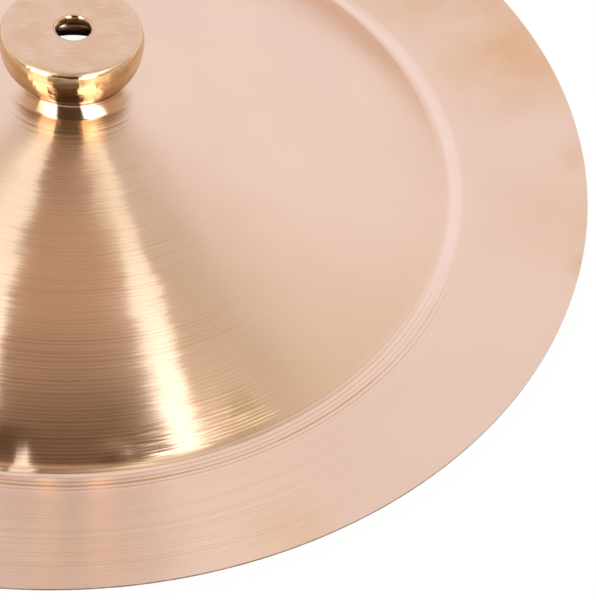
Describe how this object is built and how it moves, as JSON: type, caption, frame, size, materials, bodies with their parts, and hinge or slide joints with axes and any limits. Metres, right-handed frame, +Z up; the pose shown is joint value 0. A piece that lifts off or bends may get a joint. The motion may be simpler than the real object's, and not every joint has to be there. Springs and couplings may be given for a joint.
{
  "type": "china cymbal",
  "caption": "China cymbal with an undercut flat-topped bell, a cone-shaped bow and an upturned rim flange, struck with a stick for a short, trashy crash.",
  "frame": {"origin": "on the cymbal's axis, in the plane of the ring under the bend that the cymbal rests on", "axes": "+Z up along the cymbal's axis, out of the top of the bell. X and Y lie in the resting plane"},
  "size_m": [0.4064, 0.4064, 0.066],
  "materials": {
    "bronze": "turned and polished bronze, clear lathe rings, bell and neck buffed bright"
  },
  "bodies": {
    "root": {"cymbal": "bronze"}
  },
  "joints": []
}
